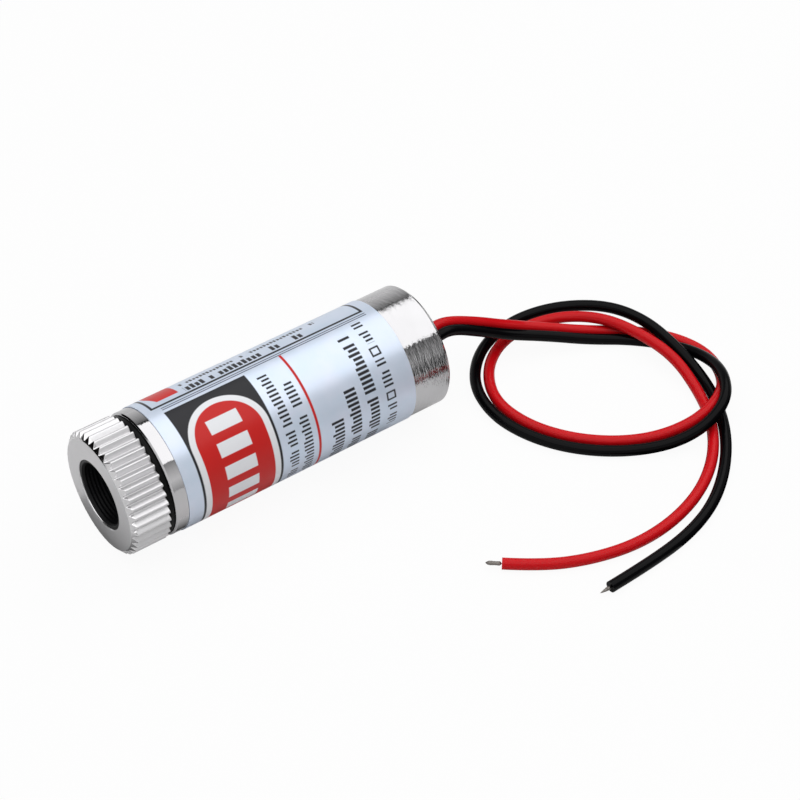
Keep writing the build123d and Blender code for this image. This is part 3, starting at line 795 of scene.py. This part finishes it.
def knurled_ring():
    """A closed section at each angle: the outside follows the ridge's radius at that angle as far as the
    chamfer's cone, which it meets where the cone has that radius, then the cone leads to the flat front
    face, the bevel and the bore, and the flat rear face leads back to the ridge."""
    slope = face_chamfer / face_drop
    meet = ring_front - (ridge_radius - face_radius) * slope
    mouth = ring_bore + ring_bevel
    edge = 0.03
    rows = [
        (ring_rear, ring_bore),
        (ring_rear, ring_bore + 0.6 * (ridge_radius - ring_bore)),
        (ring_rear, ridge_radius - 2 * edge),
        (ring_rear, ridge_radius - edge),
        (ring_rear + 0.3 * edge, ridge_radius - 0.3 * edge),
        (ring_rear + edge, ridge_radius),
        (ring_rear + 2 * edge, ridge_radius),
    ]
    for share in (0.3, 0.6, 0.9):
        rows.append((ring_rear + (meet - ring_rear) * share, ridge_radius))
    rows += [
        (meet - 1.5 * edge, ridge_radius),
        (meet - 0.5 * edge, ridge_radius - 0.1 * edge),
        (meet + 0.4 * edge, ridge_radius - 0.6 * edge),
    ]
    for share in (0.25, 0.5, 0.75, 0.93):
        rows.append((meet + (ring_front - meet) * share, ridge_radius + (face_radius - ridge_radius) * share))
    rows += [
        (ring_front - 0.2 * edge, face_radius - 0.4 * edge),
        (ring_front, face_radius - 1.5 * edge),
        (ring_front, face_radius - 3 * edge),
        (ring_front, mouth + 3 * edge),
        (ring_front, mouth + edge),
        (ring_front - 0.3 * edge, mouth - 0.1 * edge),
        (ring_front - edge, mouth - edge),
        (ring_front - ring_bevel + edge, ring_bore + edge),
        (ring_front - ring_bevel, ring_bore + 0.1 * edge),
        (ring_front - ring_bevel - 2 * edge, ring_bore),
    ]
    return turned_rows("knurled_head", rows, ridge_angle)


ring_nickel = turned_nickel(
    "ring_nickel",
    tone=0.65,
    roughness=0.14,
    ring_depth=0.01,
    ring_pitch=0.12,
    bright=(ring_front - face_chamfer, ring_front - dull_face_depth),
    coarse=(ring_rear, ring_rear),
    dulling=0.28,
)
piece("knurled_head", knurled_ring(), ring_nickel, "focus_head", "focus_ring")

# Focus thread
# The neck of the focus ring, which runs in the barrel's bore. It has an undercut next to the head and
# a fine thread of half a millimetre a turn, cut in the brass before it is plated.
thread_pitch = 0.5
thread_depth = 0.16
thread_runout = 0.2
flank_slope = 3.2
flank_start = 0.3
neck_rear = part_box("focus_ring")[0].x / mm
neck_clearance = 0.05
neck_radius = front_bore - neck_clearance
undercut_depth = 0.35
undercut_radius = neck_radius - undercut_depth
undercut_length = 0.9
thread_end = ring_rear - undercut_length


def threaded_neck():
    """A tube whose outside rises and falls with the distance along it less the angle's share of one
    pitch, which draws a helix, under an even undercut at the front."""
    angle = full_turn(steps=96)
    along = np.linspace(neck_rear, thread_end, num=100)[:, None]
    phase = (along / thread_pitch - angle / (2 * np.pi)) % 1
    rise = np.clip(flank_slope * np.abs(phase - 0.5) - flank_start, 0, 1)
    to_nearer_end = np.minimum(thread_end - along, along - neck_rear)
    fade = np.clip(to_nearer_end / thread_runout, 0, 1)
    hold = 0.1
    rows = [
        (neck_rear, ring_bore),
        (along, neck_radius - thread_depth * (1 - rise * fade)),
        (thread_end, undercut_radius),
        (ring_rear, undercut_radius),
        (ring_rear, ring_bore),
        (neck_rear + hold, ring_bore),
    ]
    return turned_rows("focus_thread", rows, angle)


piece("focus_thread", threaded_neck(), ring_nickel, "focus_head", "focus_ring")


# Neck seal
# A moulded rubber ring that fills the gap between the focus ring and the barrel. It is black and shiny,
# and it is pushed over the neck into the undercut.
def rubber(name, grey, roughness, shine):
    """Black rubber with a fine grain and a slightly uneven shine."""
    material, shader, start = new_material(name, Roughness=roughness, Specular_IOR_Level=shine)
    grain = noise(object_place(start), scale=1800.0, detail=4.0)
    lead_to(shader, "Base Color", tint(grain, (grey * 0.7,) * 3, (grey * 1.3, grey * 1.3, grey * 1.35)))
    roughen(shader, grain, roughness - 0.1, roughness + 0.1)
    raise_surface(shader, grain, strength=0.25, depth=0.02)
    return material


seal_low, seal_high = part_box("neck_seal")
seal_radius = (seal_high.z - seal_low.z) / 2 / mm
seal_rounding = 0.16
seal_foot_rounding = 0.03
seal_section = outline(
    [
        (seal_low.x / mm, undercut_radius),
        (seal_low.x / mm, seal_radius),
        (seal_high.x / mm, seal_radius),
        (seal_high.x / mm, undercut_radius),
    ],
    rounding=[seal_foot_rounding, seal_rounding, seal_rounding, seal_foot_rounding],
)
seal_rubber = rubber("seal_rubber", grey=0.003, roughness=0.35, shine=0.08)
piece("seal_ring", turned("seal_ring", seal_section), seal_rubber, "focus_head", "neck_seal")


# Lens cell
# A black anodised aluminium tube inside the focus ring. Its mouth is cut with fine rings that keep stray
# light down, and the lens sits on a shoulder inside it.
def black_anodised(name):
    """Black anodised metal with the tool's rings showing through and a few scattered grey spots."""
    material, shader, start = new_material(name, Roughness=0.5, Specular_IOR_Level=0.15)
    rings = turning_marks(*around_axis(start), pitch=1 / 9, drift=0.02)
    # A few grey spots, scattered at random over the black
    grey_spot_limit, grey_spot_strength = 0.62, 0.4
    grey_spots = (noise(object_place(start), scale=700.0, detail=5.0) > grey_spot_limit) * grey_spot_strength
    lead_to(shader, "Base Color", tint(grey_spots, (0.004, 0.004, 0.005), (0.07, 0.068, 0.065)))
    roughen(shader, rings, 0.3, 0.55)
    raise_surface(shader, rings, strength=0.4, depth=0.01)
    return material


cell_low, cell_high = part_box("lens_cell")
mouth_forward = 0.1
mouth_bevel = 0.15
cell_front = cell_high.x / mm + mouth_forward
cell_rear = cell_low.x / mm
cell_clearance = 0.01
cell_wall = 0.39
cell_radius = ring_bore - cell_clearance
cell_inner = cell_radius - cell_wall
seat_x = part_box("lens")[0].x / mm
seat_width = 0.6
seat_radius = 2.45
baffle_count = 6
plain_mouth = 0.25
baffle_front = cell_front - plain_mouth
baffle_pitch = 0.35
baffle_depth = 0.04
baffle_slope = 0.45
cell_corners = [
    (cell_rear, cell_inner),
    (cell_rear, cell_radius),
    (cell_front, cell_radius),
    (cell_front, cell_inner + mouth_bevel),
]
for baffle in range(baffle_count):
    crest = baffle_front - baffle * baffle_pitch
    cell_corners += [(crest, cell_inner), (crest - baffle_pitch * baffle_slope, cell_inner + baffle_depth)]
cell_corners += [
    (baffle_front - baffle_count * baffle_pitch, cell_inner),
    (seat_x, cell_inner),
    (seat_x, seat_radius),
    (seat_x - seat_width, seat_radius),
    (seat_x - seat_width, cell_inner),
]
cell_black = black_anodised("cell_black")
cell_mesh = turned("cell_tube", outline(cell_corners, rounding=0.02), columns=160)
piece("cell_tube", cell_mesh, cell_black, "focus_head", "lens_cell")

# Lens retainer
# A thin ring of the same black aluminium, screwed into the cell against the lens's rim, with two slots
# across its face for a pin spanner.
retainer_low, retainer_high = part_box("lens_retainer")
retainer_rear = retainer_low.x / mm
retainer_front = retainer_high.x / mm
retainer_clearance = 0.01
retainer_width = 0.39
retainer_outer = cell_inner - retainer_clearance
retainer_inner = retainer_outer - retainer_width
retainer_bevel = 0.03
slot_half_width = 0.3
slot_floor = (retainer_rear + retainer_front) / 2


def slotted_ring():
    """A ring of rectangular section whose front face drops to the slot's floor where the distance from
    the line across the slots is under half the slot's width."""
    angle = full_turn(steps=240)
    off_line = np.abs(np.cos(angle)) * cell_inner
    front = np.where(off_line < slot_half_width, slot_floor, retainer_front)
    rows = [
        (retainer_rear, retainer_outer),
        (front - retainer_bevel, retainer_outer),
        (front, retainer_outer - retainer_bevel),
        (front, retainer_inner + retainer_bevel),
        (front - retainer_bevel, retainer_inner),
        (retainer_rear, retainer_inner),
    ]
    return turned_rows("retaining_ring", rows, angle)


piece("retaining_ring", slotted_ring(), cell_black, "focus_head", "lens_retainer")

# Lens
# A moulded collimating lens of clear glass, with a flat back, a flat rim under the retainer and a steep
# dome in front.
lens_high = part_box("lens")[1]
lens_rim_x = retainer_rear
lens_clearance = 0.012
lens_radius = cell_inner - lens_clearance
lens_bevel = 0.02
back_bevel_width = 0.08
rim_bevel_width = 0.06
rim_width = 0.45
dome_radius = cell_inner - rim_width
dome_rise = lens_high.x / mm - lens_rim_x


def domed_lens():
    """A disc whose front rises over its middle as part of a sphere: at radius r inside the dome, the rise
    is the sphere's height there less its height at the dome's edge."""
    sphere = (dome_radius**2 + dome_rise**2) / (2 * dome_rise)
    dome = np.linspace(dome_radius, 0, num=24)
    rise = np.sqrt(sphere**2 - dome**2) - (sphere - dome_rise)
    edge = [
        (seat_x, 0),
        (seat_x, lens_radius * 0.6),
        (seat_x, lens_radius - back_bevel_width),
        (seat_x + lens_bevel, lens_radius),
        (lens_rim_x - lens_bevel, lens_radius),
        (lens_rim_x, lens_radius - rim_bevel_width),
        (lens_rim_x, dome_radius + lens_bevel),
    ]
    section = np.vstack([edge, np.stack([lens_rim_x + rise, dome], axis=1)])
    return turned("lens_glass", section, columns=128, closed=False)


def clear_glass(name, colour):
    """Clear optical glass with a few specks of dust."""
    material, shader, start = new_material(
        name, Base_Color=(*colour, 1), Roughness=0.02, IOR=1.52, Transmission_Weight=1.0
    )
    dust_limit = 0.68
    dust = noise(object_place(start), scale=3000.0, detail=4.0) > dust_limit
    roughen(shader, dust, 0.02, 0.32)
    return material


lens_glass = clear_glass("lens_glass", (0.96, 0.98, 1.0))
piece("lens_glass", domed_lens(), lens_glass, "focus_head", "lens")

# Focus spring
# A short compression spring of drawn steel wire between the diode's holder and the neck. It takes up the
# play in the thread. The real one lengthens as the ring is screwed out, and this mesh keeps one length.
spring_low, spring_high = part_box("focus_spring")
spring_wire = 0.45
spring_middle = (spring_high.z - spring_low.z) / 2 / mm - spring_wire / 2
spring_turns = 3.5
spring_rear = spring_low.x / mm + spring_wire / 2
spring_front = spring_high.x / mm - spring_wire / 2
end_closing = 0.06
point_share = 0.002


def coil_spring():
    """A round wire along a helix: the middle of the wire goes round the axis as it goes forward, and
    closes up over its first and last half turn. The wire's own circle stands across that line, and
    shrinks to a point at either end."""
    share = np.linspace(0, 1, num=260)[:, None]
    turn = share * spring_turns * 2 * np.pi
    forward = spring_rear + (spring_front - spring_rear) * (share - end_closing * np.sin(share * 2 * np.pi))
    circle = full_turn(steps=14)
    thickness = spring_wire / 2 * np.clip(np.minimum(share, 1 - share) / point_share, 0, 1)
    along = forward + thickness * np.sin(circle)
    radius = spring_middle + thickness * np.cos(circle)
    return grid_mesh("coil_spring", round_axis(along, radius, turn), wrap_columns=True)


def drawn_steel(name):
    """Drawn spring wire: grey steel with fine lines and a light oil film."""
    material, shader, start = new_material(name, Metallic=1.0, Roughness=0.3)
    streaks = noise(object_place(start), scale=2400.0, detail=2.0)
    lead_to(shader, "Base Color", tint(streaks, (0.52, 0.52, 0.53), (0.70, 0.69, 0.68)))
    roughen(shader, streaks, 0.2, 0.4)
    return material


spring_mesh = coil_spring()
spring_mesh.materials.append(drawn_steel("drawn_steel"))
spring = add_object("coil_spring", spring_mesh)
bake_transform(spring)
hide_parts("focus_spring")


# Rear end
# A black disc, moulded in hard plastic and pressed into the barrel's rear, and a soft rubber bush in its
# middle that the leads pass.
def moulded_black(name, grey, roughness, grain_scale):
    """Black moulded plastic with the fine grain of its mould."""
    material, shader, start = new_material(name, Roughness=roughness)
    grain = noise(object_place(start), grain_scale, detail=3.0)
    colour = (grey, grey, grey)
    lead_to(shader, "Base Color", tint(grain, shaded(colour, 0.75), shaded(colour, 1.3)))
    roughen(shader, grain, roughness - 0.1, roughness + 0.1)
    raise_surface(shader, grain, strength=0.35, depth=0.02)
    return material


def refinish(node, material):
    """Gives a node of the solid model a finish in place of its plain one."""
    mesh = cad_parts[node].data
    mesh.materials.clear()
    mesh.materials.append(material)


moulded = moulded_black("moulded_black", grey=0.022, roughness=0.45, grain_scale=1600.0)
refinish("rear_plug", moulded)
refinish("wire_grommet", rubber("grommet_rubber", grey=0.02, roughness=0.6, shine=0.25))
refinish("red_inner_lead", red_vinyl)
refinish("black_inner_lead", black_vinyl)
refinish("lead_cores", tinned)


# Laser diode and its holder
# A turned brass slug, pressed against the shoulder in the barrel, holds the can of the laser diode. The
# can is steel, plated with gold, and it has a glass window over the chip.
def plated_metal(name, dark, light, roughness):
    """Metal with a cloudy plating and fine turning marks."""
    material, shader, start = new_material(name, Metallic=1.0, Roughness=roughness)
    rings = turning_marks(*around_axis(start), pitch=1 / 8, drift=0.02)
    lead_to(shader, "Base Color", tint(rings, dark, light))
    roughen(shader, rings, roughness - 0.1, roughness + 0.1)
    raise_surface(shader, rings, strength=0.3, depth=0.01)
    return material


refinish("diode_holder", plated_metal("turned_brass", (0.62, 0.44, 0.18), (0.80, 0.62, 0.32), roughness=0.3))
gilding = plated_metal("gilding", (0.78, 0.56, 0.20), (0.92, 0.72, 0.36), roughness=0.22)
for node in ("diode_base", "diode_cap", "diode_post", "diode_pins"):
    refinish(node, gilding)
refinish("diode_chip", plated_metal("cleaved_chip", (0.5, 0.5, 0.54), (0.66, 0.66, 0.7), roughness=0.15))
refinish("diode_window", clear_glass("window_glass", (0.95, 0.97, 0.98)))


# Driver
# A small green circuit board behind the diode, with an eight-legged chip, four chip resistors, a chip
# capacitor underneath and soldered joints.
def circuit_board(name):
    """Green solder mask over a copper pattern that shows as slightly lighter lines and squares."""
    material, shader, start = new_material(name, Roughness=0.35, Coat_Weight=0.4)
    inputs = {"Vector": object_place(start), "Scale": 500.0, "Mortar Size": 0.06}
    tracks = start.node("ShaderNodeTexBrick", inputs, output="Fac")
    lead_to(shader, "Base Color", tint(tracks, (0.012, 0.11, 0.035), (0.03, 0.22, 0.07)))
    raise_surface(shader, tracks, strength=0.3, depth=0.02)
    return material


def chip_body(name, body, middle_y, half_body):
    """A speckled ceramic block with tinned ends: an end is further along Y from the block's middle than
    half the length of its body. Blocks stand in pairs, as far to either side of the board's middle."""
    material, shader, start = new_material(name, Roughness=0.4)
    place = object_place(start)
    y = start.node("ShaderNodeSeparateXYZ", {"Vector": place}, output="Y")
    at_end = abs(abs(y) / mm - middle_y) > half_body
    speckled = tint(noise(place, scale=2500.0, detail=2.0) * 0.6, body, shaded(body, 1.5))
    lead_to(shader, "Base Color", tint(at_end, speckled, (0.70, 0.70, 0.68)))
    lead_to(shader, "Metallic", at_end * 0.9)
    return material


resistor_half_length = 0.8
resistor_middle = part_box("chip_resistors")[1].y / mm - resistor_half_length
resistor_black = chip_body("resistor_black", (0.03, 0.03, 0.032), resistor_middle, half_body=0.55)
refinish("driver_board", circuit_board("circuit_board"))
refinish("driver_chip", moulded)
refinish("chip_resistors", resistor_black)
refinish("chip_capacitor", chip_body("capacitor_tan", (0.38, 0.24, 0.12), middle_y=0.0, half_body=1.1))
for node in ("driver_chip_legs", "solder_joints"):
    refinish(node, tinned)
